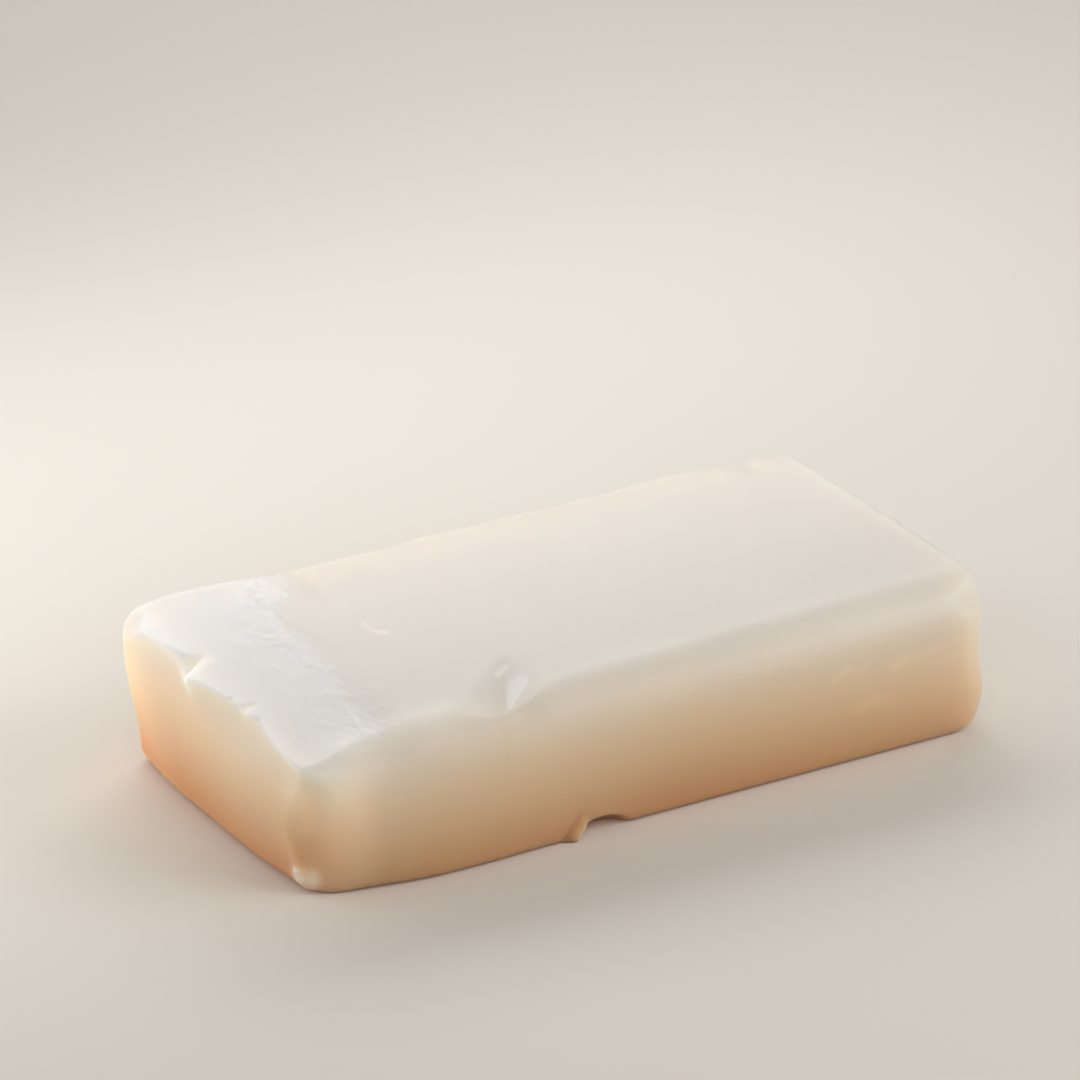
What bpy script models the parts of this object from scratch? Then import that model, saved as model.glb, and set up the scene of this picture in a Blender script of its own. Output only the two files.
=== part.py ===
"""A block of white konjac, lying on its flat base.

The block is one piece of firm gel: a slab with soft moulded edges on its long sides, a knife-cut
left end whose top edge is ragged, a dimple in the top front edge and a torn chip in the bottom
front edge. Its length lies along X, with the cut end at -X, and the front faces -Y.

The form is a closed skin drawn onto a field: the field is below zero inside the gel and above
zero outside it, and each vertex of a box of quads is moved along its own ray until it meets zero.
Its unevenness is made of two shapes: a swell, written (place, reach, rise), is a smooth hill, and a
step, written (start, end, rise), climbs once and stays up.
"""

import math

import bmesh
import bpy
import numpy as np

MM = 0.001

# The slab
LENGTH = 145.0 * MM
WIDTH = 72.0 * MM
HEIGHT_FRONT_LEFT = 28.0 * MM
HEIGHT_FRONT_RIGHT = 31.2 * MM
HEIGHT_BACK_LEFT = 31.4 * MM
HEIGHT_BACK_RIGHT = 30.1 * MM
MIDDLE_HEIGHT = 29.0 * MM
HALF_LENGTH = LENGTH / 2
HALF_WIDTH = WIDTH / 2

# Left of a faint crease across the top, the top tips towards the front by this slope
TIPPED_SLOPE = 0.026
CREASE = (-53.5 * MM, -45.5 * MM, -1.0)

# The top's unevenness along its back edge, which fades out over this strip of the width
BACK_SWELLS = (
    (-56.5 * MM, 9.0 * MM, 1.3 * MM),
    (38.0 * MM, 20.0 * MM, 0.7 * MM),
    (60.5 * MM, 3.6 * MM, -1.0 * MM),
)
BACK_STEPS = (
    (-44.0 * MM, -39.0 * MM, -0.25 * MM),
    (-14.0 * MM, -9.0 * MM, 0.35 * MM),
)
BACK_STRIP = (12.0 * MM, 32.0 * MM)

# The front face bows out, and tucks in below towards the cut end
FRONT_BOW = (-36.0 * MM, 22.0 * MM, 1.3 * MM)
FRONT_BOW_AT_TOP = 0.3
FRONT_TUCK = 2.9 * MM
FRONT_TUCK_FADE = (-70.0 * MM, -45.0 * MM)

# The back face bows out a little, and tucks in below all along
BACK_BOW = (25.0 * MM, 30.0 * MM, 0.5 * MM)
BACK_TUCK = 1.0 * MM
TUCK_CURVE = 1.5

# The cut end leans out upwards, swells near the back, and tucks in at both foot corners
LEFT_PROUD = 0.4 * MM
LEFT_LEAN = 1.5 * MM
LEFT_LEAN_CURVE = 1.8
LEFT_BELLY = (10.0 * MM, 32.0 * MM, 1.1 * MM)
LEFT_BELLY_HEIGHT = 22.0 * MM
LEFT_BELLY_REACH = 12.0 * MM
LEFT_TUCK_BACK = (14.0 * MM, 34.0 * MM, 1.2 * MM)
LEFT_TUCK_FRONT = (10.0 * MM, 34.0 * MM, 1.6 * MM)

# The right end is fuller near its foot, and a little uneven where its top edge was pinched
RIGHT_INSET = 0.5 * MM
RIGHT_FOOT = (7.0 * MM, 4.0 * MM, 1.0 * MM)
RIGHT_WAIST = (15.0 * MM, 4.0 * MM, -0.15 * MM)
RIGHT_PINCHES = (
    (-4.0 * MM, 2.5 * MM, 0.3 * MM),
    (0.0 * MM, 1.5 * MM, -0.3 * MM),
)
RIGHT_PINCH_HEIGHT = 30.0 * MM
RIGHT_PINCH_REACH = 6.0 * MM

# Radii of the edges, and the spans over which one radius turns into the next
TOP_FRONT_RADIUS = 7.5 * MM
TOP_FRONT_RADIUS_AT_CUT = 2.5 * MM
TOP_FRONT_SPAN = (-72.0 * MM, -54.0 * MM)
BOTTOM_FRONT_RADIUS = 2.2 * MM
TOP_BACK_RADIUS = 3.9 * MM
BOTTOM_BACK_RADIUS = 3.0 * MM
BOTTOM_TO_TOP_SPAN = (8.0 * MM, 18.0 * MM)
FRONT_TO_BACK_SPAN = (-10.0 * MM, 10.0 * MM)
LEFT_TOP_RADIUS = 0.9 * MM
LEFT_TOP_RADIUS_AT_BACK = 6.0 * MM
LEFT_TOP_SPAN = (24.0 * MM, 33.0 * MM)
LEFT_BOTTOM_RADIUS = 2.6 * MM
LEFT_FRONT_RADIUS_LOW = 12.0 * MM
LEFT_FRONT_RADIUS_HIGH = 4.0 * MM
LEFT_BACK_RADIUS = 6.2 * MM
RIGHT_TOP_RADIUS = 3.0 * MM
RIGHT_BOTTOM_RADIUS = 9.0 * MM
RIGHT_FRONT_RADIUS = 6.3 * MM
RIGHT_BACK_RADIUS = 7.0 * MM
RADIUS_BLEND = 1.6 * MM

# The slight unevenness of set gel, a long wave and a short one: weaker on the smooth top, and
# none where the base lies flat
LONG_WAVE = 0.12 * MM
LONG_WAVE_SPANS = (13.0 * MM, 11.0 * MM, 9.0 * MM)
SHORT_WAVE = 0.05 * MM
SHORT_WAVE_SPANS = (5.3 * MM, 8.1 * MM, 6.7 * MM, 6.1 * MM)
WAVE_OFFSETS = (0.8, 1.9, 0.5)
WAVE_SHARE_ON_TOP = 0.35
WAVE_TOP_SPAN = (22.0 * MM, 28.0 * MM)
WAVE_BASE_SPAN = (0.5 * MM, 4.0 * MM)

# The ragged top edge of the cut end: a lip that wanders out and in, a notch and a nick
LIP_DEPTH = 7.0 * MM
LIP_SWELLS = (
    (4.5 * MM, 4.5 * MM, 1.9 * MM),
    (-12.0 * MM, 8.0 * MM, -1.4 * MM),
)
NOTCH_FOOT = (-68.0 * MM, 9.7 * MM, 30.45 * MM)
NOTCH_WALLS = ((126.0, 78.0), (243.5, 28.0))
NOTCH_SOFTNESS = 0.3 * MM
NOTCH_LIP = 0.35 * MM
NICK_CENTRE = (-72.8 * MM, -10.0 * MM, 30.2 * MM)
NICK_REACH = (3.2 * MM, 2.1 * MM, 2.2 * MM)
NICK_TURN = math.radians(20)

# The dimple in the top front edge: a gently tipped facet and a steeper wall on its left
DIMPLE_FOOT = (-27.2 * MM, -28.6 * MM, 28.05 * MM)
DIMPLE_WALLS = ((198.0, 11.0), (-56.0, 22.0))
DIMPLE_SOFTNESS = 0.6 * MM
DIMPLE_LIP = 0.25 * MM

# The torn chip in the bottom front edge: an opening, and on its left a flap of gel that is pushed
# outwards below a line that climbs to the opening, and ends between the last two places
OPENING_CENTRE = (-11.9 * MM, -37.2 * MM, 0.0 * MM)
OPENING_REACH = (5.3 * MM, 5.4 * MM, 3.8 * MM)
OPENING_TURN = math.radians(-6)
OPENING_LIP = 0.8 * MM
TORN_HEIGHT = 8.0 * MM
FLAP_START = -23.8 * MM
FLAP_CLIMB = 0.78
FLAP_SPREAD = 0.36
FLAP_SOFTNESS = 0.6 * MM
FLAP_FOOT_RADIUS = 0.9 * MM
FLAP_FOOT_REACH = 4.0 * MM
FLAP_END_START = -17.9 * MM
FLAP_END = -16.6 * MM

# The small blister on the bottom front left corner
BLISTER_CENTRE = (-67.8 * MM, -29.8 * MM, 2.6 * MM)
BLISTER = (0.0 * MM, 2.2 * MM, 0.8 * MM)

# The skin: quads along each side of the box, how far the rays run, and where the rows of quads lie
# closer, as swells between -1 and 1. They crowd at the ends, the dimple, the chip and the notch.
QUADS_ALONG = (60, 30, 13)
RAY_INSET = 12.5 * MM
RAY_REACH = 6.0 * MM
RAY_HALVINGS = 30
BASE_SNAP = 0.02 * MM
CROWDS = (
    ((-1.0, 0.06, 3.0), (1.0, 0.06, 3.0), (-0.38, 0.08, 0.9), (-0.2, 0.1, 0.8)),
    ((-1.0, 0.12, 2.0), (1.0, 0.12, 2.0), (0.25, 0.14, 1.2)),
    ((-1.0, 0.2, 1.2), (1.0, 0.2, 1.2)),
)
CROWD_PLACES = 2001

GEL_COLOUR = (0.72, 0.66, 0.56, 1.0)
GEL_ROUGHNESS = 0.22


def ramp(value, start, end):
    """Rises smoothly from 0 at start to 1 at end."""
    share = np.clip((value - start) / (end - start), 0, 1)
    return share * share * (3 - 2 * share)


def hill(value, place, reach):
    """A smooth hill, 1 high at its place."""
    return np.exp(-(((value - place) / reach) ** 2))


def swell(value, shape):
    place, reach, rise = shape
    return rise * hill(value, place, reach)


def step(value, shape):
    start, end, rise = shape
    return rise * ramp(value, start, end)


def blend(first, second, share):
    return first + (second - first) * share


def how_low(z):
    """1 at the foot of a side, 0 at its top."""
    return 1 - np.clip(z / MIDDLE_HEIGHT, 0, 1)


def rounded_max(first, second, radius):
    """The larger of two fields, with the edge where they meet rounded."""
    corner = np.hypot(np.maximum(first + radius, 0), np.maximum(second + radius, 0))
    return np.minimum(-radius, np.maximum(first, second)) + corner


def egg(point, centre, reach, turn):
    """The field of an egg-shaped hollow, turned about the vertical: below zero inside it."""
    off_x, off_y, off_z = (value - middle for value, middle in zip(point, centre))
    along = off_x * math.cos(turn) + off_y * math.sin(turn)
    across = off_y * math.cos(turn) - off_x * math.sin(turn)
    size = np.sqrt((along / reach[0]) ** 2 + (across / reach[1]) ** 2 + (off_z / reach[2]) ** 2)
    return (size - 1) * min(reach)


def beyond_wall(point, foot, heading, slope):
    """How far a point lies outside a flat wall, which faces a heading and slopes up from level."""
    heading, slope = math.radians(heading), math.radians(slope)
    facing = (math.cos(heading) * math.sin(slope), math.sin(heading) * math.sin(slope), math.cos(slope))
    return sum((value - middle) * part for value, middle, part in zip(point, foot, facing))


def cleft(point, foot, walls, softness):
    """The field of a hollow between two flat walls that meet in a line through its foot."""
    first, second = (beyond_wall(point, foot, heading, slope) for heading, slope in walls)
    return rounded_max(-first, -second, softness)


def ripple(x, y, z):
    span_x, span_y, span_z = LONG_WAVE_SPANS
    long_wave = np.sin(x / span_x + WAVE_OFFSETS[0]) * np.sin(y / span_y + z / span_z + WAVE_OFFSETS[1])
    span_x, span_y, span_z, span_yz = SHORT_WAVE_SPANS
    short_wave = np.sin(x / span_x - y / span_y) * np.sin(z / span_z + y / span_yz + WAVE_OFFSETS[2])
    share = blend(1, WAVE_SHARE_ON_TOP, ramp(z, *WAVE_TOP_SPAN)) * ramp(z, *WAVE_BASE_SPAN)
    return (LONG_WAVE * long_wave + SHORT_WAVE * short_wave) * share


def top_height(x, y):
    """Four corner heights, the tipped left part, and the unevenness along the back edge."""
    left, right = (1 - x / HALF_LENGTH) / 2, (1 + x / HALF_LENGTH) / 2
    front, back = (1 - y / HALF_WIDTH) / 2, (1 + y / HALF_WIDTH) / 2
    height = front * (left * HEIGHT_FRONT_LEFT + right * HEIGHT_FRONT_RIGHT)
    height = height + back * (left * HEIGHT_BACK_LEFT + right * HEIGHT_BACK_RIGHT)
    height = height + TIPPED_SLOPE * y * (1 + step(x, CREASE))
    rise = sum(swell(x, shape) for shape in BACK_SWELLS) + sum(step(x, shape) for shape in BACK_STEPS)
    return height + rise * ramp(y, *BACK_STRIP)


def front_reach(x, z):
    """How far the front face stands from the middle, with the flap beside the torn chip."""
    low = how_low(z)
    torn = ramp(x, FLAP_START, FLAP_END) * hill(z, 0, TORN_HEIGHT)
    bow = swell(x, FRONT_BOW) * blend(FRONT_BOW_AT_TOP, 1, low) * (1 - torn)
    below_line = (x - FLAP_START) * FLAP_CLIMB - z
    flap = FLAP_SPREAD * (below_line + np.hypot(below_line, FLAP_SOFTNESS)) / 2
    flap = flap * (1 - ramp(x, FLAP_END_START, FLAP_END))
    tuck = FRONT_TUCK * (1 - ramp(x, *FRONT_TUCK_FADE)) * low**TUCK_CURVE
    return HALF_WIDTH - tuck + bow + flap


def back_reach(x, z):
    return HALF_WIDTH - BACK_TUCK * how_low(z) ** TUCK_CURVE + swell(x, BACK_BOW)


def left_reach(y, z, top):
    """How far the cut end stands from the middle: its lip wanders, and its foot corners tuck in."""
    low = how_low(z)
    lip = sum(swell(y, shape) for shape in LIP_SWELLS) * hill(z, top, LIP_DEPTH)
    belly = step(y, LEFT_BELLY) * hill(z, LEFT_BELLY_HEIGHT, LEFT_BELLY_REACH)
    tuck = step(y, LEFT_TUCK_BACK) + step(-y, LEFT_TUCK_FRONT)
    return HALF_LENGTH + LEFT_PROUD - LEFT_LEAN * low**LEFT_LEAN_CURVE + lip + belly - tuck * low


def right_reach(y, z):
    pinch = sum(swell(y, shape) for shape in RIGHT_PINCHES)
    pinch = pinch * hill(z, RIGHT_PINCH_HEIGHT, RIGHT_PINCH_REACH)
    return HALF_LENGTH - RIGHT_INSET + swell(z, RIGHT_FOOT) + swell(z, RIGHT_WAIST) + pinch


def nearest_face(faces):
    """The share that each face has in a place, near 1 for the face that is nearest there."""
    share = np.exp(np.maximum((faces - faces.max(axis=0)) / RADIUS_BLEND, -40))
    return share / share.sum(axis=0)


def slab(x, y, z):
    """The whole block before its hollows: six uneven faces and the twelve rounded edges."""
    height = top_height(x, y)
    top, under = z - height, -z
    front, back = -y - front_reach(x, z), y - back_reach(x, z)
    left, right = -x - left_reach(y, z, height), x - right_reach(y, z)

    upper = ramp(z, *BOTTOM_TO_TOP_SPAN)
    top_front = blend(TOP_FRONT_RADIUS_AT_CUT, TOP_FRONT_RADIUS, ramp(x, *TOP_FRONT_SPAN))
    flap_foot = hill(x, FLAP_END_START, FLAP_FOOT_REACH)
    front_radius = blend(blend(BOTTOM_FRONT_RADIUS, FLAP_FOOT_RADIUS, flap_foot), top_front, upper)
    back_radius = blend(BOTTOM_BACK_RADIUS, TOP_BACK_RADIUS, upper)
    long_radius = blend(front_radius, back_radius, ramp(y, *FRONT_TO_BACK_SPAN))
    section = rounded_max(np.maximum(top, under), np.maximum(front, back), long_radius)

    near_top, near_base, near_front, near_back = nearest_face(np.stack([top, under, front, back]))
    left_top = blend(LEFT_TOP_RADIUS, LEFT_TOP_RADIUS_AT_BACK, ramp(y, *LEFT_TOP_SPAN))
    left_front = blend(LEFT_FRONT_RADIUS_LOW, LEFT_FRONT_RADIUS_HIGH, ramp(z, 0, MIDDLE_HEIGHT))
    left_radius = near_top * left_top + near_base * LEFT_BOTTOM_RADIUS
    left_radius = left_radius + near_front * left_front + near_back * LEFT_BACK_RADIUS
    right_radius = near_top * RIGHT_TOP_RADIUS + near_base * RIGHT_BOTTOM_RADIUS
    right_radius = right_radius + near_front * RIGHT_FRONT_RADIUS + near_back * RIGHT_BACK_RADIUS
    return rounded_max(section, np.maximum(left, right), np.where(x < 0, left_radius, right_radius))


def block(point):
    """The field of the finished block."""
    field = slab(*point) - ripple(*point)
    notch = cleft(point, NOTCH_FOOT, NOTCH_WALLS, NOTCH_SOFTNESS)
    nick = egg(point, NICK_CENTRE, NICK_REACH, NICK_TURN)
    dimple = cleft(point, DIMPLE_FOOT, DIMPLE_WALLS, DIMPLE_SOFTNESS)
    opening = egg(point, OPENING_CENTRE, OPENING_REACH, OPENING_TURN)
    field = rounded_max(field, -notch, NOTCH_LIP)
    field = rounded_max(field, -nick, NOTCH_LIP)
    field = rounded_max(field, -dimple, DIMPLE_LIP)
    field = rounded_max(field, -opening, OPENING_LIP)
    distance = np.sqrt(sum((value - middle) ** 2 for value, middle in zip(point, BLISTER_CENTRE)))
    return field - swell(distance, BLISTER)


def crowd_together(even, swells):
    """Moves evenly spaced places between -1 and 1 closer to where the swells are high."""
    place = np.linspace(-1, 1, CROWD_PLACES)
    passed = np.cumsum(1 + sum(swell(place, shape) for shape in swells))
    passed = 2 * (passed - passed[0]) / (passed[-1] - passed[0]) - 1
    return np.interp(even, passed, place)


def box_of_quads():
    """A cube from -1 to 1 whose faces are cut into rows of quads."""
    mesh = bmesh.new()
    bmesh.ops.create_cube(mesh, size=2.0)
    for axis, quads in enumerate(QUADS_ALONG):
        across = [
            edge for edge in mesh.edges
            if abs(edge.verts[0].co[axis] - edge.verts[1].co[axis]) > 1.0
        ]
        bmesh.ops.subdivide_edges(mesh, edges=across, cuts=quads - 1, use_grid_fill=True)
    return mesh


def draw_onto_field(even):
    """Moves each vertex of the box along its ray to where the field is zero."""
    place = np.stack([crowd_together(even[:, axis], CROWDS[axis]) for axis in range(3)], axis=1)
    half = np.array([HALF_LENGTH, HALF_WIDTH, MIDDLE_HEIGHT / 2])
    middle = np.array([0, 0, MIDDLE_HEIGHT / 2])
    inner = middle + place * (half - RAY_INSET)
    outer = middle + place * (half + RAY_REACH)
    near, far = np.zeros(len(place)), np.ones(len(place))
    for _ in range(RAY_HALVINGS):
        share = (near + far) / 2
        inside = block((inner + (outer - inner) * share[:, None]).T) < 0
        near, far = np.where(inside, share, near), np.where(inside, far, share)
    points = inner + (outer - inner) * near[:, None]
    points[:, 2] = np.where(points[:, 2] < BASE_SNAP, 0, points[:, 2])
    centre = (points.min(axis=0) + points.max(axis=0)) / 2
    return points - np.array([centre[0], centre[1], 0])


def close_flat_base(mesh):
    """Joins the quads of the flat base into one face, then fans it from its centre."""
    flat = [face for face in mesh.faces if all(vert.co.z == 0 for vert in face.verts)]
    base = bmesh.ops.dissolve_faces(mesh, faces=flat, use_verts=True)["region"]
    bmesh.ops.poke(mesh, faces=base)


def gel_material():
    material = bpy.data.materials.new("konjac_gel")
    material.use_nodes = True
    shader = material.node_tree.nodes["Principled BSDF"]
    shader.inputs["Base Color"].default_value = GEL_COLOUR
    shader.inputs["Roughness"].default_value = GEL_ROUGHNESS
    shader.inputs["Metallic"].default_value = 0.0
    return material


def konjac_block():
    mesh = box_of_quads()
    even = np.array([vert.co[:] for vert in mesh.verts])
    for vert, point in zip(mesh.verts, draw_onto_field(even)):
        vert.co = point
    close_flat_base(mesh)
    bmesh.ops.recalc_face_normals(mesh, faces=mesh.faces)
    data = bpy.data.meshes.new("konjac_block")
    mesh.to_mesh(data)
    mesh.free()
    data.shade_smooth()
    data.materials.append(gel_material())
    thing = bpy.data.objects.new("konjac_block", data)
    bpy.context.scene.collection.objects.link(thing)
    return thing


for old in list(bpy.data.objects):
    bpy.data.objects.remove(old, do_unlink=True)
konjac_block()
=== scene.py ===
import math

import bmesh
import bpy
import numpy as np
from mathutils import Matrix, Vector


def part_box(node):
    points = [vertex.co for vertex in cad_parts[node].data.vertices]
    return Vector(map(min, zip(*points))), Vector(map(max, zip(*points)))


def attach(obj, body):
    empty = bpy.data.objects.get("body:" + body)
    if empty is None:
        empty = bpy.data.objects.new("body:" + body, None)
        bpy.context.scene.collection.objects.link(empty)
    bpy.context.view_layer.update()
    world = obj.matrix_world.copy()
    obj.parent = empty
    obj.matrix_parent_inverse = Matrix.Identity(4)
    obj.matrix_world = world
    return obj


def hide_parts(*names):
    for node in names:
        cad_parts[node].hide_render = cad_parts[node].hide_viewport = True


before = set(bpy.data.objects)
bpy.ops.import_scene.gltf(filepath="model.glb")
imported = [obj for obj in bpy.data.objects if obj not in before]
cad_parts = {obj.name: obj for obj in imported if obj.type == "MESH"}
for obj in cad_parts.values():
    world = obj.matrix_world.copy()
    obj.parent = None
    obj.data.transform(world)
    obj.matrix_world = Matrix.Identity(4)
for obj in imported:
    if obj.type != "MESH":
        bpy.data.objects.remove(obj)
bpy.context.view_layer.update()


# ---------------------------------------------------------------------------------------------
# The block of gel. Konjac flour and lime are stirred into hot water and set in a tray, and the firm
# sheet is cut into blocks. The faces are as smooth as the tray left them, and the cut end at -X is
# ragged along its top edge. Sizes here are millimetres: X along, Y to the back, Z up.
MM = 0.001

# Two plain shapes make the unevenness: a swell (place, reach, rise) is a smooth hill, and a step
# (start, end, rise) climbs once and stays up.


def ramp(value, start, end):
    """Rises smoothly from 0 at start to 1 at end."""
    share = np.clip((value - start) / (end - start), 0, 1)
    return share * share * (3 - 2 * share)


def hill(value, place, reach):
    """1 at its place, and falls away smoothly on both sides."""
    return np.exp(-(((value - place) / reach) ** 2))


def swell(value, shape):
    place, reach, rise = shape
    return rise * hill(value, place, reach)


def step(value, shape):
    start, end, rise = shape
    return rise * ramp(value, start, end)


def blend(first, second, share):
    return first + (second - first) * share


def rounded_max(first, second, radius):
    """The larger of two distances, with the edge where they meet rounded."""
    corner = np.hypot(np.maximum(first + radius, 0), np.maximum(second + radius, 0))
    return np.minimum(-radius, np.maximum(first, second)) + corner


# The top: four corner heights, a left part that tips to the front beyond a faint crease, low
# swells and steps along the back edge, and a slight sag along the front
HALF_LENGTH, HALF_WIDTH, MIDDLE_HEIGHT = 72.5, 36.0, 29.0
HEIGHT_FRONT_LEFT, HEIGHT_FRONT_RIGHT = 28.0, 31.2
HEIGHT_BACK_LEFT, HEIGHT_BACK_RIGHT = 31.4, 30.1
TIPPED_SLOPE = 0.026
CREASE = (-53.5, -45.5, -1.0)
BACK_SWELLS = ((-46.5, 4.0, 0.38), (-37.9, 1.2, -0.4), (18.0, 5.0, -0.3), (46.0, 12.0, 0.6))
BACK_STEPS = ((-61.0, -72.0, -1.1), (-44.0, -39.0, -0.25), (-14.0, -9.0, 0.35))
BACK_STRIP = (12.0, 32.0)
BACK_EDGE_STEPS = ((54.5, 60.0, -0.6), (60.6, 62.8, 0.4), (64.0, 69.0, -0.3))
BACK_EDGE_STRIP = (24.0, 34.0)
FRONT_SAG, FRONT_SAG_SPAN, FRONT_SAG_START = 0.3, (8.0, 36.0), (-72.0, -54.0)


def top_height(x, y):
    left, right = (1 - x / HALF_LENGTH) / 2, (1 + x / HALF_LENGTH) / 2
    front, back = (1 - y / HALF_WIDTH) / 2, (1 + y / HALF_WIDTH) / 2
    height = front * (left * HEIGHT_FRONT_LEFT + right * HEIGHT_FRONT_RIGHT)
    height = height + back * (left * HEIGHT_BACK_LEFT + right * HEIGHT_BACK_RIGHT)
    height = height + TIPPED_SLOPE * y * (1 + step(x, CREASE))
    rise = sum(swell(x, shape) for shape in BACK_SWELLS) + sum(step(x, shape) for shape in BACK_STEPS)
    edge = sum(step(x, shape) for shape in BACK_EDGE_STEPS)
    height = height - FRONT_SAG * ramp(-y, *FRONT_SAG_SPAN) * ramp(x, *FRONT_SAG_START)
    return height + rise * ramp(y, *BACK_STRIP) + edge * ramp(y, *BACK_EDGE_STRIP)


# The long sides: the front bows out and tucks in below, and beside the torn chip a flap of gel
# is pushed outwards, below a line that climbs to the opening
TUCK_CURVE = 1.5
FRONT_BOW, FRONT_BOW_AT_TOP = (-36.0, 22.0, 1.3), 0.3
FRONT_TUCK, FRONT_TUCK_FADE = 2.9, (-70.0, -45.0)
BACK_BOW, BACK_TUCK = (25.0, 30.0, 0.5), 1.0
TORN_HEIGHT = 8.0
FLAP_START, FLAP_END_START, FLAP_END, FLAP_END_SLANT = -22.0, -17.5, -16.2, 0.45
FLAP_CLIMB, FLAP_TOP, FLAP_SPREAD, FLAP_SOFTNESS = 0.95, 5.4, 0.5, 0.25
FLAP_STEP_IN, FLAP_STEP_SPAN, FLAP_STEP_REACH = 0.55, 0.5, 2.4


def how_low(z):
    """1 at the foot of a side, 0 at its top."""
    return 1 - np.clip(z / MIDDLE_HEIGHT, 0, 1)


def front_reach(x, z):
    low = how_low(z)
    torn = ramp(x, FLAP_START, FLAP_END) * hill(z, 0, TORN_HEIGHT)
    bow = swell(x, FRONT_BOW) * blend(FRONT_BOW_AT_TOP, 1, low) * (1 - torn)
    below_line = np.minimum((x - FLAP_START) * FLAP_CLIMB, FLAP_TOP) - z
    flap = FLAP_SPREAD * (below_line + np.hypot(below_line, FLAP_SOFTNESS)) / 2
    flap = flap - FLAP_STEP_IN * ramp(below_line, 0, FLAP_STEP_SPAN) * hill(below_line, 0, FLAP_STEP_REACH)
    flap = flap * (1 - ramp(x - FLAP_END_SLANT * z, FLAP_END_START, FLAP_END))
    tuck = FRONT_TUCK * (1 - ramp(x, *FRONT_TUCK_FADE)) * low**TUCK_CURVE
    return HALF_WIDTH - tuck + bow + flap


def back_reach(x, z):
    return HALF_WIDTH - BACK_TUCK * how_low(z) ** TUCK_CURVE + swell(x, BACK_BOW)


# The ends: the cut end leans out upwards, swells near the back and has a lip that wanders out and
# in; the right end is fuller near its foot and a little uneven where its top edge was pinched
LEFT_PROUD, LEFT_LEAN, LEFT_LEAN_CURVE = 0.4, 1.5, 1.8
LIP_SWELLS, LIP_DEPTH = ((4.5, 4.5, 1.9), (-14.0, 9.0, -1.9)), 4.5
LEFT_BELLY, LEFT_BELLY_HEIGHT, LEFT_BELLY_REACH = (10.0, 32.0, 1.1), 22.0, 12.0
LEFT_TUCK_BACK, LEFT_TUCK_FRONT = (14.0, 34.0, 1.2), (10.0, 34.0, 1.6)
RIGHT_INSET, RIGHT_FOOT, RIGHT_WAIST = 0.5, (7.0, 4.0, 1.0), (15.0, 4.0, -0.15)
RIGHT_PINCHES = ((-4.0, 2.5, 0.3), (0.0, 1.5, -0.3))
RIGHT_PINCH_HEIGHT, RIGHT_PINCH_REACH = 30.0, 6.0


def left_reach(y, z, top):
    low = how_low(z)
    lip = sum(swell(y, shape) for shape in LIP_SWELLS) * hill(z, top, LIP_DEPTH)
    belly = step(y, LEFT_BELLY) * hill(z, LEFT_BELLY_HEIGHT, LEFT_BELLY_REACH)
    tuck = step(y, LEFT_TUCK_BACK) + step(-y, LEFT_TUCK_FRONT)
    return HALF_LENGTH + LEFT_PROUD - LEFT_LEAN * low**LEFT_LEAN_CURVE + lip + belly - tuck * low


def right_reach(y, z):
    pinch = sum(swell(y, shape) for shape in RIGHT_PINCHES)
    pinch = pinch * hill(z, RIGHT_PINCH_HEIGHT, RIGHT_PINCH_REACH)
    return HALF_LENGTH - RIGHT_INSET + swell(z, RIGHT_FOOT) + swell(z, RIGHT_WAIST) + pinch


# The edges: each has its own radius, and one radius turns into the next over a span
TOP_FRONT_RADIUS, TOP_FRONT_RADIUS_AT_CUT, TOP_FRONT_SPAN = 8.5, 2.5, (-72.0, -54.0)
BOTTOM_FRONT_RADIUS, TOP_BACK_RADIUS, BOTTOM_BACK_RADIUS = 2.2, 3.9, 3.0
BOTTOM_TO_TOP_SPAN, FRONT_TO_BACK_SPAN = (8.0, 18.0), (-10.0, 10.0)
FLAP_FOOT_RADIUS, FLAP_FOOT_REACH = 0.9, 4.0
LEFT_TOP_RADIUS, LEFT_TOP_RADIUS_AT_BACK, LEFT_TOP_SPAN = 0.6, 6.0, (24.0, 33.0)
LEFT_FRONT_RADIUS_LOW, LEFT_FRONT_RADIUS_HIGH, LEFT_FRONT_SPAN = 12.0, 3.5, (10.0, 30.0)
LEFT_BOTTOM_RADIUS, LEFT_BACK_RADIUS = 2.6, 6.2
RIGHT_TOP_RADIUS, RIGHT_BOTTOM_RADIUS, RIGHT_BACK_RADIUS = 3.0, 9.0, 7.0
RIGHT_FRONT_RADIUS_LOW, RIGHT_FRONT_RADIUS_HIGH, RIGHT_FRONT_SPAN = 6.3, 16.0, (23.0, 31.0)
RADIUS_BLEND = 1.6


def nearest_face(faces):
    """The share that each face has in a place, near 1 for the face that is nearest there."""
    share = np.exp((faces - faces.max(axis=0)) / RADIUS_BLEND)
    return share / share.sum(axis=0)


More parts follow.
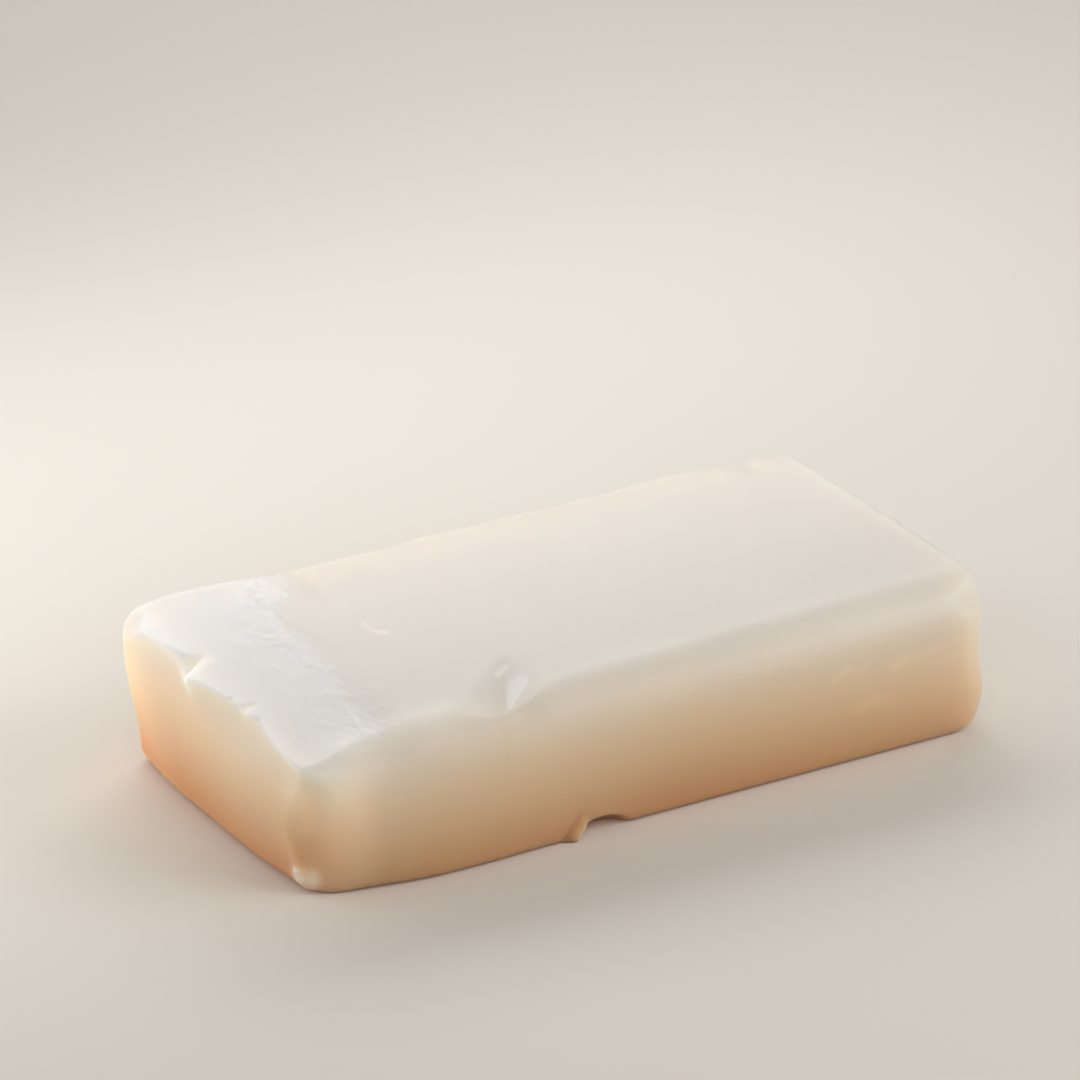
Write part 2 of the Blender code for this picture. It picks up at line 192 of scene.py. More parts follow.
def slab(x, y, z):
    """How far a place is outside the block before its hollows; below zero inside it."""
    height = top_height(x, y)
    top, under = z - height, -z
    front, back = -y - front_reach(x, z), y - back_reach(x, z)
    left, right = -x - left_reach(y, z, height), x - right_reach(y, z)

    upper = ramp(z, *BOTTOM_TO_TOP_SPAN)
    top_front = blend(TOP_FRONT_RADIUS_AT_CUT, TOP_FRONT_RADIUS, ramp(x, *TOP_FRONT_SPAN))
    flap_foot = hill(x, FLAP_END_START, FLAP_FOOT_REACH)
    front_radius = blend(blend(BOTTOM_FRONT_RADIUS, FLAP_FOOT_RADIUS, flap_foot), top_front, upper)
    back_radius = blend(BOTTOM_BACK_RADIUS, TOP_BACK_RADIUS, upper)
    long_radius = blend(front_radius, back_radius, ramp(y, *FRONT_TO_BACK_SPAN))
    section = rounded_max(np.maximum(top, under), np.maximum(front, back), long_radius)

    near_top, near_base, near_front, near_back = nearest_face(np.stack([top, under, front, back]))
    left_top = blend(LEFT_TOP_RADIUS, LEFT_TOP_RADIUS_AT_BACK, ramp(y, *LEFT_TOP_SPAN))
    left_front = blend(LEFT_FRONT_RADIUS_LOW, LEFT_FRONT_RADIUS_HIGH, ramp(z, *LEFT_FRONT_SPAN))
    left_radius = near_top * left_top + near_base * LEFT_BOTTOM_RADIUS
    left_radius = left_radius + near_front * left_front + near_back * LEFT_BACK_RADIUS
    right_front = blend(RIGHT_FRONT_RADIUS_LOW, RIGHT_FRONT_RADIUS_HIGH, ramp(z, *RIGHT_FRONT_SPAN))
    right_radius = near_top * RIGHT_TOP_RADIUS + near_base * RIGHT_BOTTOM_RADIUS
    right_radius = right_radius + near_front * right_front + near_back * RIGHT_BACK_RADIUS
    return rounded_max(section, np.maximum(left, right), np.where(x < 0, left_radius, right_radius))


# The slight waves of set gel, weaker on the smooth top and none where the base lies flat
LONG_WAVE, LONG_WAVE_SPANS = 0.12, (13.0, 11.0, 9.0)
SHORT_WAVE, SHORT_WAVE_SPANS = 0.05, (5.3, 8.1, 6.7, 6.1)
WAVE_OFFSETS = (0.8, 1.9, 0.5)
WAVE_SHARE_ON_TOP, WAVE_TOP_SPAN, WAVE_BASE_SPAN = 0.35, (22.0, 28.0), (0.5, 4.0)


def waves(x, y, z):
    span_x, span_y, span_z = LONG_WAVE_SPANS
    long_wave = np.sin(x / span_x + WAVE_OFFSETS[0]) * np.sin(y / span_y + z / span_z + WAVE_OFFSETS[1])
    span_x, span_y, span_z, span_yz = SHORT_WAVE_SPANS
    short_wave = np.sin(x / span_x - y / span_y) * np.sin(z / span_z + y / span_yz + WAVE_OFFSETS[2])
    share = blend(1, WAVE_SHARE_ON_TOP, ramp(z, *WAVE_TOP_SPAN)) * ramp(z, *WAVE_BASE_SPAN)
    return (LONG_WAVE * long_wave + SHORT_WAVE * short_wave) * share


# The hollows: in the cut edge a notch, and a nick between two small scallops, the dimple in the top
# front edge with its gently tipped facet, and the opening of the torn chip at the foot of the front
NOTCH_FOOT, NOTCH_WALLS = (-68.0, 9.7, 30.45), ((126.0, 78.0), (243.5, 23.0))
NOTCH_SOFTNESS, NOTCH_LIP, NOTCH_LIP_AT_FACE = 0.4, 0.35, 4.0
NOTCH_FACE_SPAN, NOTCH_WALL_SPAN = (-70.5, -74.5), (0.8, 4.0)
NICK_LIP, NICK_TURN = 0.35, math.radians(20)
NICKS = (
    ((-71.6, -10.9, 29.8), (3.7, 1.6, 1.4)),
    ((-72.7, -6.6, 29.8), (2.0, 1.0, 1.3)),
    ((-72.6, -15.6, 29.2), (2.6, 1.2, 1.7)),
)
DIMPLE_FOOT, DIMPLE_WALLS = (-28.1, -28.2, 27.5), ((198.0, 10.5), (-62.0, 15.5))
DIMPLE_SOFTNESS, DIMPLE_LIP = 0.3, 0.25
OPENING_CENTRE, OPENING_REACH = (-11.6, -37.2, 0.0), (5.8, 5.4, 3.1)
OPENING_TURN, OPENING_LIP = math.radians(-6), 0.8


def egg(point, centre, reach, turn):
    """How far a place is outside an egg-shaped hollow, turned about the vertical."""
    off_x, off_y, off_z = (value - middle for value, middle in zip(point, centre))
    along = off_x * math.cos(turn) + off_y * math.sin(turn)
    across = off_y * math.cos(turn) - off_x * math.sin(turn)
    size = np.sqrt((along / reach[0]) ** 2 + (across / reach[1]) ** 2 + (off_z / reach[2]) ** 2)
    return (size - 1) * min(reach)


def beyond_wall(point, foot, heading, slope):
    """How far a place lies outside a flat wall, which faces a heading and slopes up from level."""
    heading, slope = math.radians(heading), math.radians(slope)
    facing = (math.cos(heading) * math.sin(slope), math.sin(heading) * math.sin(slope), math.cos(slope))
    return sum((value - middle) * part for value, middle, part in zip(point, foot, facing))


def cleft(point, foot, walls, softness):
    """How far a place is outside the hollow between two flat walls that meet at its foot."""
    first, second = (beyond_wall(point, foot, heading, slope) for heading, slope in walls)
    return rounded_max(-first, -second, softness)


# The blister on the bottom front left corner, and the dent in it
BLISTER_CENTRE, BLISTER = (-69.2, -29.4, 2.9), (0.0, 2.0, 1.2)
BLISTER_DENT_CENTRE, BLISTER_DENT = (-69.8, -29.2, 3.6), (0.0, 0.6, -0.6)

# Fine marks, each along a line between two places seen from above, or from the front as X and Z,
# with how far it spreads and how much it rises. On the top: the doubled crease, faint lines left of
# it, a line that ends in a raised fleck, and the fold beside the dimple's facet. On the front: a
# faint line under the dimple and a few low ridges.
TOP_MARKS = (
    ((-51.0, 31.0), (-50.0, 25.7), 0.4, -0.04),
    ((-50.0, 25.7), (-49.0, 14.0), 0.5, -0.06),
    ((-49.0, 14.0), (-47.1, 5.9), 0.5, -0.06),
    ((-47.1, 5.9), (-46.6, -1.0), 0.5, -0.05),
    ((-52.6, 27.0), (-50.6, 12.0), 0.45, 0.04),
    ((-53.7, 6.5), (-54.2, -3.3), 0.5, -0.04),
    ((-54.6, -16.5), (-56.6, -29.0), 0.5, 0.05),
    ((-36.7, 7.6), (-37.0, 4.2), 0.4, 0.04),
    ((-36.6, 3.3), (-35.2, 1.6), 0.55, 0.14),
    ((-25.4, -21.6), (-22.6, -19.8), 0.6, 0.16),
)
TOP_MARKS_SPAN = (24.0, 27.0)
FRONT_MARKS = (
    ((-31.7, 25.0), (-31.9, 20.0), 0.6, -0.04),
    ((37.5, 18.4), (40.5, 19.6), 0.7, 0.09),
    ((41.5, 18.6), (44.5, 19.6), 0.6, 0.07),
    ((50.0, 17.6), (53.5, 19.0), 0.8, 0.1),
    ((55.0, 18.0), (59.0, 19.4), 0.7, 0.08),
    ((42.0, 11.0), (46.0, 12.2), 0.8, 0.09),
    ((47.0, 11.6), (50.0, 12.2), 0.6, 0.06),
)
FRONT_MARKS_SPAN = (-30.0, -34.0)


def mark(first, second, start, end, reach, rise):
    """A low ridge or groove along the straight line from start to end."""
    run = np.subtract(end, start)
    share = ((first - start[0]) * run[0] + (second - start[1]) * run[1]) / (run @ run)
    share = np.clip(share, 0, 1)
    off = np.hypot(first - start[0] - share * run[0], second - start[1] - share * run[1])
    return rise * hill(off, 0, reach)


def marks(x, y, z):
    top = sum(mark(x, y, *line) for line in TOP_MARKS) * ramp(z, *TOP_MARKS_SPAN)
    front = sum(mark(x, z, *line) for line in FRONT_MARKS) * ramp(y, *FRONT_MARKS_SPAN)
    return top + front


def block(point):
    """How far a place is outside the finished block."""
    far = slab(*point) - waves(*point) - marks(*point)
    off_wall = beyond_wall(point, NOTCH_FOOT, *NOTCH_WALLS[0])
    broad = ramp(point[0], *NOTCH_FACE_SPAN) * ramp(off_wall, *NOTCH_WALL_SPAN)
    notch_lip = blend(NOTCH_LIP, NOTCH_LIP_AT_FACE, broad)
    far = rounded_max(far, -cleft(point, NOTCH_FOOT, NOTCH_WALLS, NOTCH_SOFTNESS), notch_lip)
    for centre, reach in NICKS:
        far = rounded_max(far, -egg(point, centre, reach, NICK_TURN), NICK_LIP)
    far = rounded_max(far, -cleft(point, DIMPLE_FOOT, DIMPLE_WALLS, DIMPLE_SOFTNESS), DIMPLE_LIP)
    far = rounded_max(far, -egg(point, OPENING_CENTRE, OPENING_REACH, OPENING_TURN), OPENING_LIP)
    for centre, shape in ((BLISTER_CENTRE, BLISTER), (BLISTER_DENT_CENTRE, BLISTER_DENT)):
        distance = np.sqrt(sum((value - middle) ** 2 for value, middle in zip(point, centre)))
        far = far - swell(distance, shape)
    return far


# The skin: a box of quads whose rows lie closer where the detail is, as swells between -1 and 1,
# each vertex of it moved along its own ray until it meets the surface
BOX_SIZE, QUADS_ALONG = 2.0, (320, 148, 40)
RAY_INSET, RAY_REACH, RAY_HALVINGS = 12.5, 6.0, 20
BASE_SNAP = 0.02
CROWDS = (
    ((-1.0, 0.05, 3.0), (1.0, 0.06, 1.5), (-0.75, 0.14, 1.2), (-0.35, 0.1, 0.9), (-0.2, 0.1, 0.9)),
    ((-1.0, 0.12, 1.6), (1.0, 0.12, 1.2), (0.1, 0.2, 0.4), (-0.7, 0.2, 0.5)),
    ((-1.0, 0.25, 1.0), (1.0, 0.3, 1.2)),
)
CROWD_PLACES = 2001


def crowd_together(even, swells):
    """Moves evenly spaced places between -1 and 1 closer to where the swells are high."""
    place = np.linspace(-1, 1, CROWD_PLACES)
    passed = np.cumsum(1 + sum(swell(place, shape) for shape in swells))
    passed = 2 * (passed - passed[0]) / (passed[-1] - passed[0]) - 1
    return np.interp(even, passed, place)


def box_of_quads():
    """A box from -1 to 1; along each axis in turn, the edges that run its whole length are cut."""
    mesh = bmesh.new()
    bmesh.ops.create_cube(mesh, size=BOX_SIZE)
    for axis, quads in enumerate(QUADS_ALONG):
        whole = [
            edge for edge in mesh.edges
            if abs(edge.verts[0].co[axis] - edge.verts[1].co[axis]) > BOX_SIZE / 2
        ]
        bmesh.ops.subdivide_edges(mesh, edges=whole, cuts=quads - 1, use_grid_fill=True)
    return mesh


def draw_onto_surface(even):
    place = np.stack([crowd_together(even[:, axis], CROWDS[axis]) for axis in range(3)], axis=1)
    half = np.array([HALF_LENGTH, HALF_WIDTH, MIDDLE_HEIGHT / 2])
    middle = np.array([0, 0, MIDDLE_HEIGHT / 2])
    inner = middle + place * (half - RAY_INSET)
    outer = middle + place * (half + RAY_REACH)
    near, far = np.zeros(len(place)), np.ones(len(place))
    for _ in range(RAY_HALVINGS):
        share = (near + far) / 2
        inside = block((inner + (outer - inner) * share[:, None]).T) < 0
        near, far = np.where(inside, share, near), np.where(inside, far, share)
    points = inner + (outer - inner) * near[:, None]
    points[:, 2] = np.where(points[:, 2] < BASE_SNAP, 0, points[:, 2])
    return points


# The wet film covers the top at the cut end, and beside the crease the gel is pebbled with small
# seeded grains, thickest near the film's edge
FILM_RIGHT_BACK, FILM_RIGHT_MIDDLE, FILM_RIGHT_FRONT = -37.0, -46.0, -48.5
FILM_BACK_SPAN, FILM_FRONT_SPAN = (-30.0, -12.0), (8.0, 20.0)
FILM_FRONT_AT_CUT, FILM_FRONT_CLIMB = (-71.2, -34.6), 0.22
FILM_DEPTH, FILM_DEPTH_AT_BACK, FILM_DEPTH_SPAN = 0.6, 4.0, (18.0, 32.0)
GRAIN_SEED, GRAIN_COUNT = 11, 800
GRAIN_LONG, GRAIN_ACROSS = (-70.0, -43.0), (-31.0, 26.0)
GRAIN_PAST_FILM, GRAIN_CROWDING, GRAIN_SPREAD = 2.0, 2.0, 4.2
GRAIN_REACH, GRAIN_RISE, GRAIN_TOP_SPAN = (0.5, 0.9), (0.012, 0.045), (-1.0, -0.4)


def film_right(y):
    """Where the wet film ends to the right."""
    right = blend(FILM_RIGHT_BACK, FILM_RIGHT_MIDDLE, ramp(-y, *FILM_BACK_SPAN))
    return blend(right, FILM_RIGHT_FRONT, ramp(-y, *FILM_FRONT_SPAN))


def film_inside(x, y, z):
    """How far a place lies inside the film: behind its front edge, and above where it ends on the sides."""
    cut_x, cut_y = FILM_FRONT_AT_CUT
    front = cut_y + (x - cut_x) * FILM_FRONT_CLIMB
    depth = blend(FILM_DEPTH, FILM_DEPTH_AT_BACK, ramp(y, *FILM_DEPTH_SPAN))
    return np.minimum(y - front, depth - (top_height(x, y) - z))


def grains(x, y):
    """How high the grains stand in a place."""
    draw = np.random.default_rng(GRAIN_SEED)
    across = draw.uniform(*GRAIN_ACROSS, GRAIN_COUNT)
    along = film_right(across) + GRAIN_PAST_FILM - draw.gamma(GRAIN_CROWDING, GRAIN_SPREAD, GRAIN_COUNT)
    reach = draw.uniform(*GRAIN_REACH, GRAIN_COUNT)
    rise = draw.uniform(*GRAIN_RISE, GRAIN_COUNT)
    high = np.zeros_like(x)
    near = np.flatnonzero((x > GRAIN_LONG[0]) & (x < GRAIN_LONG[1]))
    for grain in range(GRAIN_COUNT):
        off = ((x[near] - along[grain]) ** 2 + (y[near] - across[grain]) ** 2) / reach[grain] ** 2
        high[near] += rise[grain] * np.exp(-off)
    return high


# The mesh, made about the same middle as the solid and with one fan of triangles as its flat base
mesh = box_of_quads()
points = draw_onto_surface(np.array([vert.co[:] for vert in mesh.verts]))
x, y, z = points.T
points[:, 2] += ramp(z - top_height(x, y), *GRAIN_TOP_SPAN) * grains(x, y)
solid_low, solid_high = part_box("konjac_block")
solid_middle = (np.array(solid_low) + np.array(solid_high)) / 2 / MM
moved = solid_middle - (points.min(axis=0) + points.max(axis=0)) / 2
moved[2] = 0
for vert, point in zip(mesh.verts, points):
    vert.co = (point + moved) * MM
flat = [face for face in mesh.faces if all(vert.co.z == 0 for vert in face.verts)]
base = bmesh.ops.dissolve_faces(mesh, faces=flat, use_verts=True)["region"]
bmesh.ops.poke(mesh, faces=base)
bmesh.ops.recalc_face_normals(mesh, faces=mesh.faces)
gel_mesh = bpy.data.meshes.new("konjac_gel")
mesh.to_mesh(gel_mesh)
mesh.free()
gel_mesh.shade_smooth()

# The glossy leaf: the part of the dimple's facet inside an outline seen from above
FACET_INSET = 0.05
FACET_CORNERS = (
    (-29.5, -32.0), (-28.6, -32.2), (-24.7, -29.2), (-21.6, -26.8),
    (-21.1, -25.4), (-21.5, -24.0), (-22.5, -23.6), (-25.6, -24.5),
)


def leaf_inside(x, y, z):
    """How far a place lies inside the glossy leaf."""
    beyond = beyond_wall((x, y, z), DIMPLE_FOOT, *DIMPLE_WALLS[1])
    leaf = np.minimum(-slab(x, y, z) - FACET_INSET, beyond - FACET_INSET)
    for (x1, y1), (x2, y2) in zip(FACET_CORNERS, FACET_CORNERS[1:] + FACET_CORNERS[:1]):
        side = (x2 - x1) * (y - y1) - (y2 - y1) * (x - x1)
        leaf = np.minimum(leaf, side / math.hypot(x2 - x1, y2 - y1))
    return leaf


# Small torn places and thin edges where the gel is paler: each from one end to the other, how far
# it spreads and how pale. The blister and small flecks are paler gel; the rest are painted highlights and
# painted light that lifts shaded places and thin edges
PALE_FLECKS_AND_PAINTED_LIGHT = (
    # paler gel: the blister
    ((-69.9, -28.3, 3.0), (-68.4, -30.0, 2.9), 1.7, 0.75),
    # painted highlights: the blister's two glints
    ((-70.6, -27.9, 4.3), (-69.5, -29.4, 4.3), 0.7, 1.0),
    ((-69.9, -29.6, 3.2), (-68.2, -30.4, 4.0), 0.7, 1.0),
    # painted light that lifts the shaded notch
    ((-69.5, 8.6, 29.6), (-73.5, 6.5, 28.2), 2.2, 0.6),
    # painted highlight: a glint below the leaf
    ((-28.6, -33.9, 26.5), (-28.2, -33.9, 26.5), 0.6, 0.25),
    # paler flecks on the top, and the tail of one
    ((-25.4, -21.6, 29.3), (-22.6, -19.8, 29.5), 0.8, 0.25),
    ((-36.5, 3.2, 30.0), (-35.3, 1.7, 30.0), 0.8, 0.35),
    ((-36.8, 7.4, 30.1), (-37.0, 4.2, 30.0), 0.7, 0.2),
    # painted light that lifts the shaded nick, the back left tip, the top front edge, the front left
    # corner, the right end and the back foot of the cut end
    ((-73.6, -11.6, 28.7), (-70.0, -10.4, 28.7), 1.4, 0.6),
    ((-71.0, 27.0, 29.6), (-70.0, 33.0, 28.0), 3.5, 0.15),
    ((-60.0, -31.0, 27.5), (-36.0, -31.0, 28.3), 4.5, 0.12),
    ((-18.0, -32.0, 28.0), (68.0, -32.5, 28.6), 4.5, 0.15),
    ((-65.0, -34.0, 18.0), (-64.0, -32.5, 5.0), 5.5, 0.1),
    ((71.0, -31.0, 20.0), (71.0, -29.0, 5.0), 8.0, 0.35),
    ((-73.5, 30.0, 22.0), (-73.5, 27.0, 10.0), 6.0, 0.08),
)

# Painted light: edges that light reaches from two sides are painted to glow a little, in the same form
PAINTED_GLOW_EDGES = (
    ((-60.0, -31.0, 27.9), (-42.0, -31.0, 28.1), 5.0, 0.13),
    ((-42.0, -31.0, 28.1), (-36.0, -31.0, 28.3), 4.5, 0.07),
    ((-18.0, -32.0, 28.0), (40.0, -32.5, 28.4), 4.5, 0.04),
    ((40.0, -32.5, 28.4), (68.0, -32.5, 28.6), 4.5, 0.06),
    ((-65.0, -34.0, 20.0), (-64.0, -32.5, 5.0), 6.0, 0.2),
    ((-70.0, -32.0, 21.0), (-68.0, -31.0, 13.0), 4.0, 0.14),
    ((-73.0, 29.0, 18.0), (-71.5, 26.0, 5.0), 8.0, 0.12),
)


def strength(point, places):
    """How strongly the places in a list colour a point: the strongest of them counts."""
    strongest = np.zeros_like(point[0])
    for start, end, reach, share in places:
        run = np.subtract(end, start)
        offset = np.stack(point, axis=-1) - start
        along = np.clip(offset @ run / (run @ run), 0, 1)
        off = np.linalg.norm(offset - along[:, None] * run, axis=1)
        strongest = np.maximum(strongest, share * hill(off, 0, reach))
    return strongest


# How deep each place lies below the top, which is how far light has come through the gel. As painted
# shade the front and the cut end face away from the light and count as deeper, and as painted light the
# right end is clearer.
FRONT_PAINTED_SHADE_DEPTH, FRONT_DEPTH_SPAN = 1.6, (14.0, 36.0)
CUT_END_PAINTED_SHADE_DEPTH, CUT_END_SPAN = 3.4, (0.3, 0.9)
RIGHT_PAINTED_LIGHT_DEPTH, RIGHT_SPAN = 3.5, (0.0, 70.0)


def of_each_vertex(what):
    """The places or the normals of the mesh's vertices, as X, Y and Z."""
    values = np.empty(len(gel_mesh.vertices) * 3, dtype=np.float32)
    gel_mesh.vertices.foreach_get(what, values)
    return values.reshape(-1, 3).T


x, y, z = of_each_vertex("co") / MM - moved[:, None]
facing_cut_end = -of_each_vertex("normal")[0]
depth = np.maximum(top_height(x, y) - z, 0)
# painted shade on the front and the cut end, painted light at the right end
depth = depth + FRONT_PAINTED_SHADE_DEPTH * ramp(-y, *FRONT_DEPTH_SPAN)
depth = depth + CUT_END_PAINTED_SHADE_DEPTH * ramp(facing_cut_end, *CUT_END_SPAN)
depth = depth - RIGHT_PAINTED_LIGHT_DEPTH * ramp(x, *RIGHT_SPAN)
held = {
    "depth_mm": depth,
    "film_mm": film_inside(x, y, z),
    "crease_mm": film_right(y) - x,
    "leaf_mm": leaf_inside(x, y, z),
    # paler gel, painted highlights and painted light on shaded places
    "pale": strength((x, y, z), PALE_FLECKS_AND_PAINTED_LIGHT),
    # painted light: thin edges painted to glow
    "glow": strength((x, y, z), PAINTED_GLOW_EDGES),
    "mark_mm": marks(x, y, z),
}
for name, values in held.items():
    gel_mesh.attributes.new(name, "FLOAT", "POINT").data.foreach_set("value", values.astype(np.float32))


class Wire:
    """A socket of a shader node; arithmetic on it adds Math nodes."""

    def __init__(self, tree, socket):
        self.tree = tree
        self.socket = socket

    def node(self, kind, settings, sockets, output=0):
        """Adds a node: first its settings, then the values or links of its sockets."""
        made = self.tree.nodes.new(kind)
        for name, value in settings.items():
            if name == "stops":
                band = made.color_ramp
                for _ in value[2:]:
                    band.elements.new(0.5)
                for stop, (place, colour) in zip(band.elements, value):
                    stop.position = place
                    stop.color = colour
            else:
                setattr(made, name, value)
        for key, value in sockets.items():
            if isinstance(value, Wire):
                self.tree.links.new(value.socket, made.inputs[key])
            else:
                made.inputs[key].default_value = value
        return Wire(self.tree, made.outputs[output])

    def math(self, operation, *values):
        return self.node("ShaderNodeMath", {"operation": operation}, dict(enumerate(values)))

    def __add__(self, other):
        return self.math("ADD", self, other)

    def __sub__(self, other):
        return self.math("SUBTRACT", self, other)

    def __mul__(self, other):
        return self.math("MULTIPLY", self, other)

    __radd__ = __add__
    __rmul__ = __mul__

    def __rsub__(self, other):
        return self.math("SUBTRACT", other, self)


# The gel's material: light scatters inside it. Three noises vary it, each a scale per metre, a
# detail and a roughness: haze all through, clouds at the film's edge, and pebbles longer along Y.
HAZE, CLOUDS, PEBBLES = (55.0, 3.0, 0.5), (220.0, 1.0, 0.5), (800.0, 2.0, 0.6)
PEBBLE_SQUEEZE = (1.0, 0.75, 1.0)
GEL_FINISH = {
    "Roughness": 0.45,
    "IOR": 1.36,
    "Subsurface Weight": 1.0,
    "Subsurface Radius": (1.0, 0.8, 0.6),
    "Subsurface Scale": 0.014,
    "Coat Roughness": 0.04,
    "Coat IOR": 1.33,
}

gel = bpy.data.materials.new("konjac_gel")
gel.use_nodes = True
shader = gel.node_tree.nodes["Principled BSDF"]
for socket, value in GEL_FINISH.items():
    shader.inputs[socket].default_value = value
gel_nodes = Wire(gel.node_tree, shader.outputs[0])
place = gel_nodes.node("ShaderNodeTexCoord", {}, {}, output="Object")
squeezed = gel_nodes.node("ShaderNodeVectorMath", {"operation": "MULTIPLY"}, {0: place, 1: PEBBLE_SQUEEZE})
across = gel_nodes.node("ShaderNodeSeparateXYZ", {}, {0: place}, output="Y") * (1 / MM)


def noise(where, scale, detail, roughness):
    sockets = {"Vector": where, "Scale": scale, "Detail": detail, "Roughness": roughness}
    return gel_nodes.node("ShaderNodeTexNoise", {}, sockets, output="Fac")


def read(name):
    """What the mesh holds under a name."""
    return gel_nodes.node("ShaderNodeAttribute", {"attribute_name": name}, {}, output="Fac")


def fade(value, low, high):
    """0 below low and 1 above high."""
    return value.node(
        "ShaderNodeMapRange",
        {"interpolation_type": "SMOOTHSTEP"},
        {"Value": value, "From Min": low, "From Max": high},
    )


# The film is a clear coat inside its outline, a little stronger at the back. Towards the crease it
# thins out, and the pebbles break it up. The leaf in the dimple has a coat of its own.
FILM_SHARE_FRONT, FILM_SHARE_BACK, FILM_SHARE_SPAN = 0.19, 0.27, (-30.0, 30.0)
FILM_EDGE, FILM_THINS_OUT, CLOUD_SHIFT = (0.0, 0.5), (-0.5, 9.0), 5.0
PEBBLES_COVERED_AT_EDGE, PEBBLES_COVERED_MORE, PEBBLE_EDGE = 0.15, 0.75, (-0.1, 0.1)
SPECKLE, SPECKLE_EDGE, SPECKLE_ENDS = 1.6, (0.38, 0.62), (9.0, 24.0)
LEAF_SHARE, LEAF_EDGE = 0.2, (0.0, 0.35)

crease = read("crease_mm")
clouds = noise(place, *CLOUDS)
pebbles = noise(squeezed, *PEBBLES)
full = fade(crease + (clouds - 0.5) * CLOUD_SHIFT, *FILM_THINS_OUT)
speckle = (fade(pebbles, *SPECKLE_EDGE) - 0.5) * (1 - fade(crease, *SPECKLE_ENDS)) * SPECKLE + 1
kept = fade(full * PEBBLES_COVERED_MORE + PEBBLES_COVERED_AT_EDGE - pebbles, *PEBBLE_EDGE) * speckle
share = fade(across, *FILM_SHARE_SPAN) * (FILM_SHARE_BACK - FILM_SHARE_FRONT) + FILM_SHARE_FRONT
film = fade(read("film_mm"), *FILM_EDGE) * share
leaf = fade(read("leaf_mm"), *LEAF_EDGE) * LEAF_SHARE
wet = film * kept
wet = wet.math("MAXIMUM", wet, leaf)
gel.node_tree.links.new(wet.socket, shader.inputs["Coat Weight"])

# The colour turns warmer and darker with depth, partly the gel's own colour and partly painted warm bounce
# light and painted shade towards the foot. Torn places are paler, painted light lifts shaded places and
# thin edges, the film is bluish as a painted reflection and the leaf paler as a painted highlight, and
# painted shade in the marks' grooves, painted light on their ridges, the haze, painted light towards the
# back and painted shade at the back edge vary the shade.
GEL_AND_PAINTED_LIGHT_STOPS = (
    (0.0, (0.73, 0.68, 0.61, 1.0)),
    (0.05, (0.735, 0.69, 0.62, 1.0)),
    (0.2, (0.755, 0.655, 0.53, 1.0)),
    (0.4, (0.775, 0.615, 0.43, 1.0)),
    (0.6, (0.735, 0.525, 0.32, 1.0)),
    (0.85, (0.65, 0.38, 0.2, 1.0)),
    (1.0, (0.63, 0.29, 0.135, 1.0)),
)
FULL_DEPTH, HAZE_DEPTH = 30.0, 2.5
PALE_GEL_AND_PAINTED_LIGHT, LEAF_PAINTED_HIGHLIGHT = (0.96, 0.88, 0.76, 1.0), (0.9, 0.89, 0.87, 1.0)
LEAF_HIGHLIGHT_SHARE, FILM_PAINTED_REFLECTION = 1.6, (0.8, 0.96, 1.2, 1.0)
SHADE, MARK_PAINTED_SHADE, HAZE_SHADE = 0.96, 0.7, 0.06
# painted light: the gel lighter towards the back; painted shade at the back edge
BACK_PAINTED_LIGHT, BACK_SPAN = 0.12, (-30.0, 34.0)
BACK_EDGE_PAINTED_SHADE, BACK_EDGE_SPAN = 0.1, (28.0, 34.0)


def mixed(first, second, share, blend_type="MIX"):
    return share.node(
        "ShaderNodeMix",
        {"data_type": "RGBA", "blend_type": blend_type},
        {"Factor": share, "A": first, "B": second},
        output="Result",
    )


haze = noise(place, *HAZE) - 0.5
below_top = (read("depth_mm") + haze * HAZE_DEPTH) * (1 / FULL_DEPTH)
colour = gel_nodes.node("ShaderNodeValToRGB", {"stops": GEL_AND_PAINTED_LIGHT_STOPS}, {"Fac": below_top})
# paler gel, painted highlights and painted light on shaded places
colour = mixed(colour, PALE_GEL_AND_PAINTED_LIGHT, read("pale"))
# painted highlight: the leaf mixed towards near white
colour = mixed(colour, LEAF_PAINTED_HIGHLIGHT, leaf * LEAF_HIGHLIGHT_SHARE)
# painted reflection: a cool tint on the film
colour = mixed(colour, FILM_PAINTED_REFLECTION, film * full, "MULTIPLY")
# painted glow on thin edges, painted shade in grooves and painted light on ridges, and random haze
shade = SHADE + read("glow") + read("mark_mm") * MARK_PAINTED_SHADE + haze * HAZE_SHADE
# painted light towards the back and painted shade at the back edge
shade = shade + fade(across, *BACK_SPAN) * BACK_PAINTED_LIGHT - fade(across, *BACK_EDGE_SPAN) * BACK_EDGE_PAINTED_SHADE
colour = colour.node("ShaderNodeVectorMath", {"operation": "SCALE"}, {0: colour, "Scale": shade})
gel.node_tree.links.new(colour.socket, shader.inputs["Base Color"])
gel_mesh.materials.append(gel)

konjac_gel = bpy.data.objects.new("konjac_gel", gel_mesh)
bpy.context.scene.collection.objects.link(konjac_gel)
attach(konjac_gel, "root")
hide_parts("konjac_block")


# ---------------------------------------------------------------------------------------------
# The floor, a plain pale sheet of matt card that runs far past the camera's view.
FLOOR_SIZE = 16.0
FLOOR_FINISH = {
    "Base Color": (0.78, 0.73, 0.66, 1.0),
    "Roughness": 0.9,
    "Specular IOR Level": 0.1,
}

sheet = bmesh.new()
bmesh.ops.create_grid(sheet, x_segments=1, y_segments=1, size=FLOOR_SIZE / 2)
floor_mesh = bpy.data.meshes.new("floor")
sheet.to_mesh(floor_mesh)
sheet.free()
card = bpy.data.materials.new("floor_card")
card.use_nodes = True
for socket, value in FLOOR_FINISH.items():
    card.node_tree.nodes["Principled BSDF"].inputs[socket].default_value = value
floor_mesh.materials.append(card)
floor = bpy.data.objects.new("floor", floor_mesh)
bpy.context.scene.collection.objects.link(floor)


